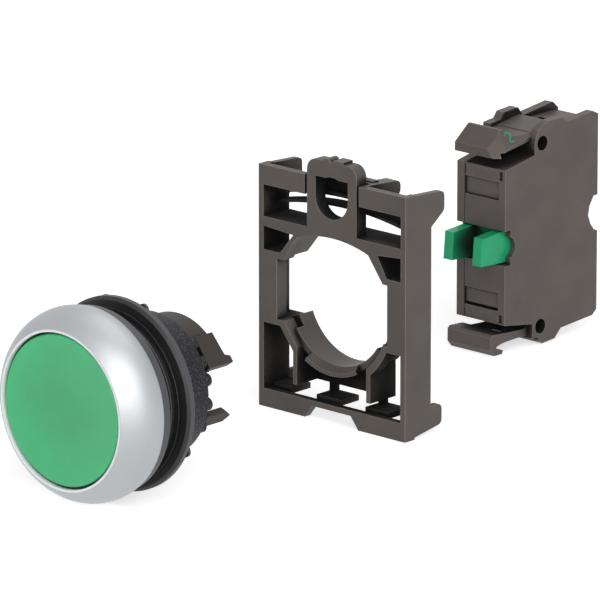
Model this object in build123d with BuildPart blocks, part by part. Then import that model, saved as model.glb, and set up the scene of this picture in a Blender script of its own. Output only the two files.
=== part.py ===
from build123d import *
import os
from math import cos, degrees, radians, sin

os.makedirs("parts", exist_ok=True)

# Pushbutton switch in millimetres: a panel operator, its fixing adapter and one contact block.
# The three modules stand in a row on one floor. +Y runs from the button to the contact block,
# +Z is up, and the origin is on the floor under the middle of the row.

# Row
adapter_setback = 58.9  # front lip of the button to the front face of the adapter
block_setback = 45.5  # front face of the adapter to the front face of the contact block
block_pitch = 10.0  # the adapter takes three contact blocks side by side

# Fits
running_fit = 0.08  # radial clearance of what slides in a guide
seat_gap = 0.1  # between moulded pieces that are pushed together
flush_gap = 0.05  # between flat faces of pieces that part when the switch works

# Front ring and cap, by depth behind the lip and radius
ring_radius = 14.85
ring_depth = 6.8
ring_widest_depth = 5.0
ring_shoulder_depth = 1.7
ring_shoulder_inset = 1.0
ring_lip_width = 0.45
ring_rear_tuck = 0.3
ring_recess_depth = 4.7
ring_face_width = 3.35  # cap to the outside of the ring
cap_gap = 0.35
cap_setback = 0.2
cap_dish = 0.45
cap_face_thickness = 1.4
cap_skirt_length = 2.6
cap_skirt_wall = 1.1
cap_edge_radius = 0.35
button_stroke = 5.5
seal_front_depth = 0.9
seal_thickness = 1.4
seal_seat_depth = 0.5

# Bezel base, collar and panel gasket
groove_inset = 2.4
base_floor_thickness = 1.4
base_rear_depth = 11.9
base_flange_thickness = 0.8
base_rib_depths = (9.4, 10.2)
base_rib_width = 0.3
base_rib_height = 0.4
rim_inset = 1.45
collar_inset = 0.65
collar_thickness = 2.0
collar_bevel = 0.3
gasket_inset = 0.1
gasket_thickness = 1.7
gasket_groove = 0.2  # how deep the gasket's bead sits in the neck
gasket_bead_length = 1.0
gasket_edge_radius = 0.45
gasket_nub_radius = 0.9
gasket_nub_height = 0.45
gasket_nub_angles = (-29, 74, 106, 209)

# Operator body and coupling cage
neck_radius = 11.05
neck_wall = 1.15
neck_end_depth = 20.0
body_flange_thickness = 1.2
sleeve_radius = 8.75
sleeve_wall = 0.75
guide_setback = 0.5  # past the pressed carrier
sleeve_end_depth = 19.0
body_web_thickness = 1.4
guide_wall = 0.8
stud_radius = 1.0
stud_bore_radius = 0.45
stud_height = 1.0
stud_side_angles = (45, 28, 13, -8, -30)
cage_wall = 0.75
cage_arc_end_depth = 25.0
cage_arc_angles = (40, 140)
cage_inner_radius = 7.6
cage_inner_wall = 0.7
cage_link_setback = 0.2
cage_link_thickness = 1.2
tab_root_length = 1.0
tab_root_lap = 0.8
hook_tab_angle = 35
hook_tab_width = 5.2
hook_tab_thickness = 1.6
hook_tab_end_depth = 26.2
hook_height = 1.0
hook_shoulder = 1.4
hook_throat = 1.17
hook_point = 1.56
arrow_tab_angle = -26
arrow_tab_width = 1.8
arrow_tab_thickness = 1.2
arrow_tab_end_depth = 26.6
arrow_point_length = 1.3

# Button carrier and its spring
carrier_plate_thickness = 1.4
stem_radius = 4.6
stem_bore_radius = 3.2
pusher_length = 16.8
pusher_height = 4.8
pusher_thickness = 2.6
pusher_corner = 0.95
spring_radius = 6.6
spring_wire = 0.8
spring_turns = 6
wire_sides = 5

# Fixing adapter, by depth behind its front face; outlines are (X, Z)
adapter_width = 30.0
adapter_height = 38.2
adapter_depth = 5.8
adapter_wall = 1.0
lattice_depth = 2.2
bar_thickness = 1.2
top_bar_height = 3.1
bottom_bar_height = 2.9
bottom_notch_height = 2.0
bottom_notch_half_width = 5.5
bottom_notch_half_crown = 3.9
opening_half_width = 11.3
opening_centre = 18.8
opening_sides = (14.3, 23.9)
arch_shoulder = (7.4, 27.9)
arch_top = 29.15
band_heights = (28.6, 30.1)
band_droop = 0.4  # at the inner ends of the upper pockets
left_pocket_slant = (7.9, 10.6)
right_pocket_slant = (9.3, 11.2)
upper_pocket_floor = 24.9
lower_pocket_top = 13.4
rib_foot = 4.7
rib_wall = 0.8
left_pocket_x = (7.9, 10.6)
left_pocket_knee = 9.9
right_rib_x = 7.1
right_rib_arc = 11.3
right_rib_thickness = 1.1
right_rib_end_angle = -22
right_rib_arc_angle = -30
right_pocket_arc_angle = -40
ear_depth = 8.7
ear_height = 4.7
ear_front_drop = 0.95
ear_end_rise = 1.15
ear_rear_drop = 0.5
foot_ear_depth = 8.3
foot_ear_height = 3.2
foot_rise = 1.3
ear_corner = 0.9
arm_thickness = 2.3
arm_height = 3.6
rear_bar_depth = 3.6
rear_bar_thickness = 1.4
rear_bar_height = 2.6
tongue_width = 10.1
tongue_top = 41.0
tongue_thickness = 2.2
tongue_gap = 0.45
tongue_corner = 1.8
loop_half_width = 3.28
loop_top = 38.4
loop_bottom = 32.1
knob_radius = 0.75
knob_x = -1.1
knob_sink = 0.3
stop_block_span = (0.4, 2.3)
bow_thickness = 0.5
bow_rise = 1.7
bow_side_heights = (31.6, 33.2)
bow_front_depth = 2.8
bow_length = 2.4
saddle_radius = 9.9
saddle_wall = 1.0
saddle_lead = 0.8
saddle_start_depth = 1.2
saddle_angles = (214, 326)
saddle_lip_angles = (241, 297)
claw_angles = (203, 225)
claw_wall = 1.7
claw_start_depth = 2.8
cross_wall_thickness = 1.2
cross_wall_top = 11.6
pad_width = 5.0
pad_offset = -2.1
pad_top = 3.4
pad_thickness = 0.9
pad_start_depth = 1.7
pad_leg_width = 1.0

# Contact block, by depth behind its front face and height above the foot of that face
block_width = 10.0
block_depth = 22.0
face_height = 25.0
cover_thickness = 1.7
side_wall = 1.3
front_wall = 1.3
block_drop = 4.85
pin_hole_radius = 1.2
upper_pin_hole = (8.7, 27.8)
lower_pin_hole = (8.5, -1.8)
tab_depth = 0.9
tab_reach = 3.65
tab_slot = 0.75
tab_spans = ((23.3, 24.6), (0.3, 1.5))
face_fields = ((20.0, 22.9, 0.35), (2.5, 5.0, 0.35), (2.1, 2.5, 0.9))  # low, high and depth
roof_moat = (12.6, 13.3)
roof_moat_height = 28.4
roof_box_height = 29.4
roof_box_end = 21.4
roof_box_right = 2.6
latch_right = 3.9
latch_nose = (-0.6, 28.1)
latch_facets = (((1.6, *latch_nose), (1, -1, 1)), ((latch_right, 0.3, 27.6), (1, -0.2, 1)))
latch_facet_size = 20.0
lower_latch_right = 4.0
latch_arm_width = 1.2

# Plunger
plunger_axis_height = 12.4
plunger_stroke = 4.0
ear_inner = 2.1
ear_outer = 3.9
ear_reach = 4.4
ear_lean = 0.4
ear_knee = 0.5
ear_tip_height = 4.4
ear_root_height = 5.0
ear_root_lap = 0.7
ear_window_height = 5.6
ear_window_depth = 1.35
window_bulge_radius = 1.8
window_bulge_reach = 1.15  # how far the rounded end of the window goes past its square part
plunger_width = 5.8
plunger_height = 6.4
plunger_length = 11.6
window_start = 2.65
window_length = 5.2
window_width = 3.8
spring_bore_radius = 1.6
spring_bore_depth = 2.8
plunger_bay_end = 17.3
plunger_spring_radius = 1.15
plunger_spring_turns = 6
block_spring_wire = 0.35

# Contact bridge and fixed contacts
bridge_lag = 1.0
bridge_length = 15.0
bridge_width = 3.2
bridge_thickness = 0.6
bridge_corner = 0.8
bridge_bay_length = 16.0
bridge_bay_start = 7.0
bridge_spring_radius = 1.3
bridge_spring_turns = 4
tip_radius = 1.1
tip_thickness = 0.5
tip_spacing = 12.2
strip_thickness = 0.8
strip_width = 3.8
strip_inner_spacing = 9.8

# Terminals
terminal_spacing = 21.6
terminal_bay_start = 9.7
terminal_bay_height = 5.6
clamp_plate_size = 3.8
clamp_plate_thickness = 0.8
clamp_plate_front = 16.2
screw_head_radius = 1.8
screw_head_thickness = 1.5
screw_radius = 1.1
screw_length = 4.6
screw_slot_width = 0.6
screw_cross_length = 2.5
screw_slot_depth = 0.7
screw_pocket_radius = 2.4
screw_pocket_length = 1.5
driver_hole_radius = 1.8
wire_entry_width = 3.8
wire_entry_depth = 2.1

# Stations that follow from the sizes
row_length = adapter_setback + block_setback + block_depth
lip_y = -row_length / 2
adapter_y = lip_y + adapter_setback
block_y = adapter_y + block_setback
block_x = -block_pitch
axis_height = ring_radius


def facing_plane(y, x=0.0, height=0.0):
    """Sketch plane that looks along +Y: its x is the row's X, its y is the row's Z."""
    return Plane(origin=(x, y, height), x_dir=(1, 0, 0), z_dir=(0, -1, 0))


def on_circle(radius, angle):
    """Point at an angle from +X towards +Z."""
    return (radius * cos(radians(angle)), radius * sin(radians(angle)))


def pie(radius, angles):
    """Corners of a pie slice that keeps the part of a ring between two angles."""
    reach = radius * 1.5
    return [(0, 0)] + [on_circle(reach, angle) for angle in (angles[0], sum(angles) / 2, angles[1])]


# Operator: every section is drawn as depth behind the lip against radius, and turned
operator_section = Plane(origin=(0, lip_y, axis_height), x_dir=(0, 1, 0), z_dir=(1, 0, 0))
operator_axis = Axis((0, lip_y, axis_height), (0, 1, 0))

cap_radius = ring_radius - ring_face_width
rim_radius = ring_radius - rim_inset
groove_radius = ring_radius - groove_inset
collar_radius = ring_radius - collar_inset
gasket_radius = ring_radius - gasket_inset
bore_radius = cap_radius + cap_gap
lip_radius = bore_radius + ring_lip_width
seal_end_depth = seal_front_depth + seal_thickness
seal_seat_radius = bore_radius + seal_seat_depth
rim_bore_radius = rim_radius + seat_gap

with BuildPart() as front_ring:
    with BuildSketch(operator_section):
        with BuildLine():
            lip = Line((0, bore_radius), (0, lip_radius))
            dome = ThreePointArc(
                lip @ 1,
                (ring_shoulder_depth, ring_radius - ring_shoulder_inset),
                (ring_widest_depth, ring_radius),
            )
            flank = TangentArc(dome @ 1, (ring_depth, ring_radius - ring_rear_tuck), tangent=(1, 0))
            Polyline(
                flank @ 1,
                (ring_depth, rim_bore_radius),
                (ring_recess_depth, rim_bore_radius),
                (ring_recess_depth, bore_radius),
                (seal_end_depth, bore_radius),
                (seal_end_depth, seal_seat_radius),
                (seal_front_depth, seal_seat_radius),
                (seal_front_depth, bore_radius),
                lip @ 0,
            )
        make_face()
    revolve(axis=operator_axis)

with BuildPart() as lip_seal:
    with BuildSketch(operator_section):
        with Locations((seal_front_depth, cap_radius + running_fit)):
            Rectangle(seal_thickness, seal_seat_radius - cap_radius - running_fit, align=Align.MIN)
    revolve(axis=operator_axis)

cap_back_depth = cap_setback + cap_dish + cap_face_thickness
cap_end_depth = cap_back_depth + cap_skirt_length
cap_socket_radius = cap_radius - cap_skirt_wall
dish_chord = cap_radius - cap_edge_radius

with BuildPart() as button_cap:
    with BuildSketch(operator_section):
        with BuildLine():
            middle = (cap_setback + cap_dish, 0)
            dish = ThreePointArc(
                middle, (cap_setback + cap_dish * 0.75, dish_chord / 2), (cap_setback, dish_chord)
            )
            RadiusArc(dish @ 1, (cap_setback + cap_edge_radius, cap_radius), cap_edge_radius)
            Polyline(
                (cap_setback + cap_edge_radius, cap_radius),
                (cap_end_depth, cap_radius),
                (cap_end_depth, cap_socket_radius),
                (cap_back_depth, cap_socket_radius),
                (cap_back_depth, 0),
                middle,
            )
        make_face()
    revolve(axis=operator_axis)

base_floor_depth = base_rear_depth - base_floor_thickness
base_bore_radius = cap_radius + running_fit * 2
spigot_bore_radius = sleeve_radius + seat_gap

with BuildPart() as bezel_base:
    with BuildSketch(operator_section):
        with BuildLine():
            Polyline(
                (ring_recess_depth + seat_gap, base_bore_radius),
                (ring_recess_depth + seat_gap, rim_radius),
                (ring_depth, rim_radius),
                (ring_depth, groove_radius),
                (base_rear_depth - base_flange_thickness, groove_radius),
                (base_rear_depth - base_flange_thickness, rim_radius),
                (base_rear_depth, rim_radius),
                (base_rear_depth, spigot_bore_radius),
                (base_floor_depth, spigot_bore_radius),
                (base_floor_depth, base_bore_radius),
                close=True,
            )
        make_face()
        # Fine ribs in the groove behind the collar
        for depth in base_rib_depths:
            with Locations((depth, groove_radius)):
                Rectangle(base_rib_width, 2 * base_rib_height)
    revolve(axis=operator_axis)

collar_end_depth = ring_depth + collar_thickness

with BuildPart() as collar_ring:
    with BuildSketch(operator_section):
        with BuildLine():
            Polyline(
                (ring_depth, groove_radius + flush_gap),
                (ring_depth, collar_radius),
                (collar_end_depth - collar_bevel, collar_radius),
                (collar_end_depth, collar_radius - collar_bevel),
                (collar_end_depth, groove_radius + flush_gap),
                close=True,
            )
        make_face()
    revolve(axis=operator_axis)

gasket_end_depth = base_rear_depth + gasket_thickness
gasket_seat_radius = neck_radius - gasket_groove

with BuildPart() as panel_gasket:
    with BuildSketch(operator_section):
        with BuildLine():
            Polyline(
                (base_rear_depth, gasket_seat_radius + seat_gap),
                (base_rear_depth, gasket_radius - gasket_edge_radius),
                (base_rear_depth + gasket_edge_radius, gasket_radius),
                (gasket_end_depth - gasket_edge_radius, gasket_radius),
                (gasket_end_depth, gasket_radius - gasket_edge_radius),
                (gasket_end_depth, neck_radius + seat_gap),
                (base_rear_depth + gasket_bead_length, neck_radius + seat_gap),
                (base_rear_depth + gasket_bead_length, gasket_seat_radius + seat_gap),
                close=True,
            )
        make_face()
    revolve(axis=operator_axis)
    with BuildSketch(facing_plane(lip_y + gasket_end_depth, 0, axis_height)):
        for angle in gasket_nub_angles:
            with Locations(on_circle(gasket_radius - gasket_nub_radius, angle)):
                Circle(gasket_nub_radius)
    extrude(amount=-gasket_nub_height)

neck_bore_radius = neck_radius - neck_wall
sleeve_bore_radius = sleeve_radius - sleeve_wall
guide_bore_radius = stem_radius + running_fit
guide_radius = guide_bore_radius + guide_wall
body_floor_depth = sleeve_end_depth - body_web_thickness
carrier_rear_depth = cap_back_depth + carrier_plate_thickness
guide_start_depth = carrier_rear_depth + button_stroke + guide_setback
flange_end_depth = base_rear_depth + body_flange_thickness
stud_angles = stud_side_angles + tuple(180 - angle for angle in stud_side_angles)

with BuildPart() as operator_body:
    with BuildSketch(operator_section):
        with BuildLine():
            Polyline(
                (base_floor_depth + seat_gap, sleeve_bore_radius),
                (base_floor_depth + seat_gap, sleeve_radius),
                (base_rear_depth, sleeve_radius),
                (base_rear_depth, gasket_seat_radius),
                (gasket_end_depth + seat_gap, gasket_seat_radius),
                (gasket_end_depth + seat_gap, neck_radius),
                (neck_end_depth, neck_radius),
                (neck_end_depth, neck_bore_radius),
                (flange_end_depth, neck_bore_radius),
                (flange_end_depth, sleeve_radius),
                (sleeve_end_depth, sleeve_radius),
                (sleeve_end_depth, guide_bore_radius),
                (guide_start_depth, guide_bore_radius),
                (guide_start_depth, guide_radius),
                (body_floor_depth, guide_radius),
                (body_floor_depth, sleeve_bore_radius),
                close=True,
            )
        make_face()
    revolve(axis=operator_axis)
    # Studs round the rear edge of the neck, trimmed to its wall
    with BuildSketch(facing_plane(lip_y + neck_end_depth, 0, axis_height)):
        for angle in stud_angles:
            with Locations(on_circle(neck_radius - stud_radius, angle)):
                Circle(stud_radius)
                Circle(stud_bore_radius, mode=Mode.SUBTRACT)
        Circle(neck_bore_radius, mode=Mode.SUBTRACT)
    extrude(amount=-stud_height)

cage_radius = neck_bore_radius - seat_gap
cage_bore_radius = cage_radius - cage_wall
cage_start_depth = flange_end_depth + seat_gap
cage_end_depth = neck_end_depth + stud_height
cage_link_depth = neck_end_depth + cage_link_setback
tab_root_end_depth = cage_end_depth + tab_root_length
tab_start_depth = tab_root_end_depth - tab_root_lap
cage_inner_outer_radius = cage_inner_radius + cage_inner_wall


def tangent_plane(angle, radius):
    """Plane that touches a circle round the operator's axis; x is depth, y runs round the circle."""
    outward = Vector(cos(radians(angle)), 0, sin(radians(angle)))
    return Plane(
        origin=Vector(0, lip_y, axis_height) + outward * radius, x_dir=(0, 1, 0), z_dir=outward
    )


with BuildPart() as coupling_cage:
    with BuildSketch(facing_plane(lip_y + cage_start_depth, 0, axis_height)):
        Circle(cage_radius)
        Circle(cage_bore_radius, mode=Mode.SUBTRACT)
    extrude(amount=cage_start_depth - cage_end_depth)
    # Double wall along the top, joined by a link between its two arcs
    for inner, outer, start, end in (
        (cage_bore_radius, cage_radius, cage_end_depth, cage_arc_end_depth),
        (cage_inner_radius, cage_inner_outer_radius, cage_link_depth, cage_arc_end_depth),
        (cage_inner_outer_radius, cage_bore_radius, cage_link_depth, cage_link_depth + cage_link_thickness),
    ):
        with BuildSketch(facing_plane(lip_y + start, 0, axis_height)):
            Circle(outer)
            Circle(inner, mode=Mode.SUBTRACT)
            with BuildLine():
                Polyline(*pie(outer, cage_arc_angles), close=True)
            make_face(mode=Mode.INTERSECT)
        extrude(amount=start - end)
    # A hooked tab and an arrow tab at each side, on roots that lengthen the tube
    for side in (1, -1):
        hook_angle = 90 - side * (90 - hook_tab_angle)
        arrow_angle = 90 - side * (90 - arrow_tab_angle)
        for angle, width in ((hook_angle, hook_tab_width), (arrow_angle, arrow_tab_width)):
            spread = degrees(width / 2 / cage_bore_radius)
            with BuildSketch(facing_plane(lip_y + cage_end_depth, 0, axis_height)):
                Circle(cage_radius)
                Circle(cage_bore_radius, mode=Mode.SUBTRACT)
                with BuildLine():
                    Polyline(*pie(cage_radius, (angle - spread, angle + spread)), close=True)
                make_face(mode=Mode.INTERSECT)
            extrude(amount=cage_end_depth - tab_root_end_depth)
        half = side * hook_tab_width / 2
        with BuildSketch(tangent_plane(hook_angle, cage_bore_radius)):
            with BuildLine():
                Polyline(
                    (tab_start_depth, -half),
                    (tab_start_depth, half),
                    (hook_tab_end_depth - hook_shoulder, half),
                    (hook_tab_end_depth - hook_height, -side * hook_throat),
                    (hook_tab_end_depth, -side * hook_point),
                    (hook_tab_end_depth, -half),
                    close=True,
                )
            make_face()
        extrude(amount=hook_tab_thickness)
        half = arrow_tab_width / 2
        with BuildSketch(tangent_plane(arrow_angle, cage_bore_radius)):
            with BuildLine():
                Polyline(
                    (tab_start_depth, -half),
                    (tab_start_depth, half),
                    (arrow_tab_end_depth - arrow_point_length, half),
                    (arrow_tab_end_depth, 0),
                    (arrow_tab_end_depth - arrow_point_length, -half),
                    close=True,
                )
            make_face()
        extrude(amount=arrow_tab_thickness)

pusher_start_depth = sleeve_end_depth + flush_gap
pusher_end_depth = pusher_start_depth + pusher_thickness

with BuildPart() as button_carrier:
    with BuildSketch(operator_section):
        with BuildLine():
            Polyline(
                (cap_back_depth, 0),
                (cap_back_depth, cap_socket_radius - flush_gap),
                (carrier_rear_depth, cap_socket_radius - flush_gap),
                (carrier_rear_depth, stem_radius),
                (pusher_end_depth, stem_radius),
                (pusher_end_depth, stem_bore_radius),
                (carrier_rear_depth, stem_bore_radius),
                (carrier_rear_depth, 0),
                close=True,
            )
        make_face()
    revolve(axis=operator_axis)
    with BuildSketch(facing_plane(lip_y + pusher_start_depth, 0, axis_height)):
        RectangleRounded(pusher_length, pusher_height, pusher_corner)
        Circle(stem_bore_radius, mode=Mode.SUBTRACT)
    extrude(amount=-pusher_thickness)


def coil_path(centre, length, radius, wire, turns):
    """Line of a compression spring's wire along +Y, half a wire inside both of its ends."""
    reach = length - wire
    with BuildLine() as path:
        Helix(reach / turns, reach, radius, center=Vector(*centre) + (0, wire / 2, 0), direction=(0, 1, 0))
    return path.line


return_spring_length = body_floor_depth - carrier_rear_depth - 2 * flush_gap
return_spring_path = coil_path(
    (0, lip_y + carrier_rear_depth + flush_gap, axis_height),
    return_spring_length,
    spring_radius,
    spring_wire,
    spring_turns,
)

with BuildPart() as return_spring:
    with BuildSketch(Plane(origin=return_spring_path @ 0, z_dir=return_spring_path % 0)):
        RegularPolygon(spring_wire / 2, wire_sides)
    sweep(path=return_spring_path, is_frenet=True)

# Fixing adapter
half_width = adapter_width / 2
inside = half_width - adapter_wall
band_bottom, band_top = band_heights
opening_axis = Axis((0, adapter_y, opening_centre), (0, -1, 0))


def adapter_plane(depth):
    """Plane parallel to the adapter's front face, at a depth behind it."""
    return facing_plane(adapter_y + depth)


def wall_plane(x):
    """Plane of a side wall of the adapter; local x is depth and local y is height."""
    return Plane(origin=(x, adapter_y, 0), x_dir=(0, 1, 0), z_dir=(1, 0, 0))


def opening_plane(angle):
    """Plane through the opening's axis; local x is depth and local y is radius."""
    return Plane(
        origin=(0, adapter_y, opening_centre),
        x_dir=(0, 1, 0),
        z_dir=(sin(radians(angle)), 0, -cos(radians(angle))),
    )


def mirrored(points):
    """The same outline on the other side of the middle."""
    return [(-x, z) for x, z in points]


def upper_pocket(slant):
    """Corners of a pocket under the upper band, between a side wall and its slanted rib."""
    top_x, foot_x = slant
    return [
        (inside, band_bottom),
        (top_x, band_bottom - band_droop),
        (foot_x, upper_pocket_floor),
        (inside, upper_pocket_floor),
    ]


left_upper_pocket = mirrored(upper_pocket(left_pocket_slant))
right_upper_pocket = upper_pocket(right_pocket_slant)
left_lower_pocket = mirrored(
    [
        (inside, bottom_bar_height),
        (left_pocket_x[0], bottom_bar_height),
        (left_pocket_x[0], left_pocket_knee),
        (left_pocket_x[1], lower_pocket_top),
        (inside, lower_pocket_top),
    ]
)
arm_centre = block_pitch / 2
loop_centre = loop_bottom + loop_half_width
tongue_half = tongue_width / 2
tongue_slot_half = tongue_half + tongue_gap
slot_top = adapter_height - top_bar_height


def opening_point(radius, angle):
    """Point of the front face at a radius and angle round the operator's axis."""
    x, z = on_circle(radius, angle)
    return (x, opening_centre + z)


def height_on_arc(radius, x):
    """Height of the lower half of a circle round the operator's axis, at a distance sideways."""
    return opening_centre - (radius**2 - x**2) ** 0.5


right_pocket_arc = right_rib_arc + right_rib_thickness
right_pocket_x = right_rib_x + rib_wall
right_pocket_drop = opening_centre - lower_pocket_top
right_pocket_corner = ((right_pocket_arc**2 - right_pocket_drop**2) ** 0.5, lower_pocket_top)

with BuildPart() as adapter_frame:
    # Front lattice
    with BuildSketch(adapter_plane(0)):
        with BuildLine():
            Polyline(
                (-half_width, 0),
                (-bottom_notch_half_width, 0),
                (-bottom_notch_half_crown, bottom_notch_height),
                (bottom_notch_half_crown, bottom_notch_height),
                (bottom_notch_half_width, 0),
                (half_width, 0),
                (half_width, adapter_height),
                (-half_width, adapter_height),
                close=True,
            )
        make_face()
        # Opening for the operator, open downwards between the two lower ribs
        with BuildLine():
            arch = ThreePointArc(arch_shoulder, (0, arch_top), (-arch_shoulder[0], arch_shoulder[1]))
            left_side = Polyline(
                arch @ 1,
                (-left_pocket_slant[1] + rib_wall, opening_sides[1]),
                (-opening_half_width, opening_sides[1]),
                (-opening_half_width, opening_sides[0]),
                (-left_pocket_x[1] + rib_wall, opening_sides[0]),
                (-left_pocket_x[0] + rib_wall, left_pocket_knee + rib_wall),
                (-left_pocket_x[0] + rib_wall, rib_foot),
                (right_rib_x, rib_foot),
                (right_rib_x, height_on_arc(right_rib_arc, right_rib_x)),
            )
            rib_arc = ThreePointArc(
                left_side @ 1,
                opening_point(right_rib_arc, right_rib_arc_angle),
                opening_point(right_rib_arc, right_rib_end_angle),
            )
            Polyline(
                rib_arc @ 1,
                (opening_half_width, opening_sides[0]),
                (opening_half_width, opening_sides[1]),
                (right_pocket_slant[1] - rib_wall, opening_sides[1]),
                arch @ 0,
            )
        make_face(mode=Mode.SUBTRACT)
        for pocket in (left_upper_pocket, right_upper_pocket, left_lower_pocket):
            with BuildLine():
                Polyline(*pocket, close=True)
            make_face(mode=Mode.SUBTRACT)
        with BuildLine():
            pocket_arc = ThreePointArc(
                (right_pocket_x, height_on_arc(right_pocket_arc, right_pocket_x)),
                opening_point(right_pocket_arc, right_pocket_arc_angle),
                right_pocket_corner,
            )
            Polyline(
                pocket_arc @ 1,
                (inside, lower_pocket_top),
                (inside, bottom_bar_height),
                (right_pocket_x, bottom_bar_height),
                pocket_arc @ 0,
            )
        make_face(mode=Mode.SUBTRACT)
        # Slot over the bottom bar, window for the bow springs and slot for the tongue
        for low, high, width in (
            (bottom_bar_height, rib_foot, 2 * inside),
            (band_top, slot_top, 2 * inside),
            (band_top, adapter_height, 2 * tongue_slot_half),
        ):
            with Locations((0, (low + high) / 2)):
                Rectangle(width, high - low, mode=Mode.SUBTRACT)
    extrude(amount=-lattice_depth)
    # The two long bars are thinner than the rest of the lattice
    with BuildSketch(adapter_plane(bar_thickness)):
        for low, high in ((0, bottom_bar_height), (slot_top, adapter_height)):
            with Locations((0, (low + high) / 2)):
                Rectangle(2 * inside, high - low)
    extrude(amount=bar_thickness - lattice_depth, mode=Mode.SUBTRACT)
    # Deep walls round the two upper pockets and the lower left one
    for pocket in (left_upper_pocket, right_upper_pocket, left_lower_pocket):
        with BuildSketch(adapter_plane(0)):
            with BuildLine():
                Polyline(*pocket, close=True)
            make_face()
            offset(amount=rib_wall, kind=Kind.INTERSECTION)
            with BuildLine():
                Polyline(*pocket, close=True)
            make_face(mode=Mode.SUBTRACT)
            with Locations((0, (rib_foot + adapter_height) / 2)):
                Rectangle(2 * half_width, adapter_height - rib_foot, mode=Mode.INTERSECT)
        extrude(amount=-adapter_depth)
    # Deep rib and arc at the right of the saddle, and the band over the opening
    with BuildSketch(adapter_plane(0)):
        with Locations((right_rib_x + rib_wall / 2, (rib_foot + lower_pocket_top) / 2)):
            Rectangle(rib_wall, lower_pocket_top - rib_foot)
        with Locations((0, opening_centre)):
            Circle(right_rib_arc, mode=Mode.SUBTRACT)
    extrude(amount=-adapter_depth)
    with BuildSketch(adapter_plane(0)):
        with BuildLine():
            Polyline(
                (-inside, band_top),
                (inside, band_top),
                (inside, band_bottom),
                (arch_shoulder[0], band_bottom - band_droop),
                (-arch_shoulder[0], band_bottom - band_droop),
                (-inside, band_bottom),
                close=True,
            )
        make_face()
        with BuildLine():
            arch = ThreePointArc(arch_shoulder, (0, arch_top), (-arch_shoulder[0], arch_shoulder[1]))
            Line(arch @ 1, arch @ 0)
        make_face(mode=Mode.SUBTRACT)
    extrude(amount=-adapter_depth)
    # Side walls with their ears
    for side in (1, -1):
        with BuildSketch(wall_plane(side * (half_width - adapter_wall / 2))) as wall:
            with BuildLine():
                Polyline(
                    (0, 0),
                    (foot_ear_depth, foot_rise),
                    (foot_ear_depth, foot_rise + foot_ear_height),
                    (adapter_depth, foot_rise + foot_ear_height),
                    (adapter_depth, adapter_height - ear_height - ear_front_drop),
                    (ear_depth, adapter_height - ear_height + ear_end_rise),
                    (ear_depth, adapter_height - ear_rear_drop),
                    (0, adapter_height),
                    close=True,
                )
            make_face()
            fillet(wall.vertices().filter_by(lambda corner: corner.X > adapter_depth), ear_corner)
        extrude(amount=adapter_wall / 2, both=True)
    # Arms behind the top bar with the bar between them, cleared for the tongue
    for side in (1, -1):
        with BuildSketch(wall_plane(side * arm_centre)) as arm:
            with BuildLine():
                Polyline(
                    (bar_thickness, adapter_height - arm_height),
                    (ear_depth, adapter_height - arm_height + ear_corner),
                    (ear_depth, adapter_height - ear_rear_drop),
                    (bar_thickness, adapter_height),
                    close=True,
                )
            make_face()
            fillet(arm.vertices().filter_by(lambda corner: corner.X > adapter_depth), ear_corner)
        extrude(amount=arm_thickness / 2, both=True)
    with BuildSketch(adapter_plane(rear_bar_depth)):
        with Locations((0, adapter_height - rear_bar_height / 2)):
            Rectangle(2 * arm_centre, rear_bar_height)
    extrude(amount=-rear_bar_thickness)
    with BuildSketch(adapter_plane(0)):
        with Locations((0, (band_top + tongue_top) / 2)):
            Rectangle(2 * tongue_slot_half, tongue_top - band_top)
    extrude(amount=-tongue_thickness - tongue_gap, mode=Mode.SUBTRACT)
    # Bow springs across the window
    with BuildSketch(adapter_plane(bow_front_depth)):
        for height in bow_side_heights:
            with BuildLine():
                under = ThreePointArc((-inside, height), (0, height + bow_rise), (inside, height))
                over = ThreePointArc(
                    (-inside, height + bow_thickness),
                    (0, height + bow_rise + bow_thickness),
                    (inside, height + bow_thickness),
                )
                Line(under @ 0, over @ 0)
                Line(under @ 1, over @ 1)
            make_face()
    extrude(amount=-bow_length)
    # Tongue with its finger loop
    with BuildSketch(adapter_plane(0)) as tongue:
        with Locations((0, (band_bottom + tongue_top) / 2)):
            Rectangle(tongue_width, tongue_top - band_bottom)
        fillet(tongue.vertices().group_by(Axis.Y)[-1], tongue_corner)
        with Locations((knob_x, tongue_top - knob_sink)):
            Circle(knob_radius)
        with Locations((sum(stop_block_span) / 2, tongue_top)):
            Rectangle(stop_block_span[1] - stop_block_span[0], knob_radius)
        with Locations((0, loop_centre)):
            Circle(loop_half_width, mode=Mode.SUBTRACT)
        with Locations((0, (loop_centre + loop_top) / 2)):
            Rectangle(2 * loop_half_width, loop_top - loop_centre, mode=Mode.SUBTRACT)
        with BuildLine():
            arch = ThreePointArc(arch_shoulder, (0, arch_top), (-arch_shoulder[0], arch_shoulder[1]))
            Line(arch @ 1, arch @ 0)
        make_face(mode=Mode.SUBTRACT)
    extrude(amount=-tongue_thickness)
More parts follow.
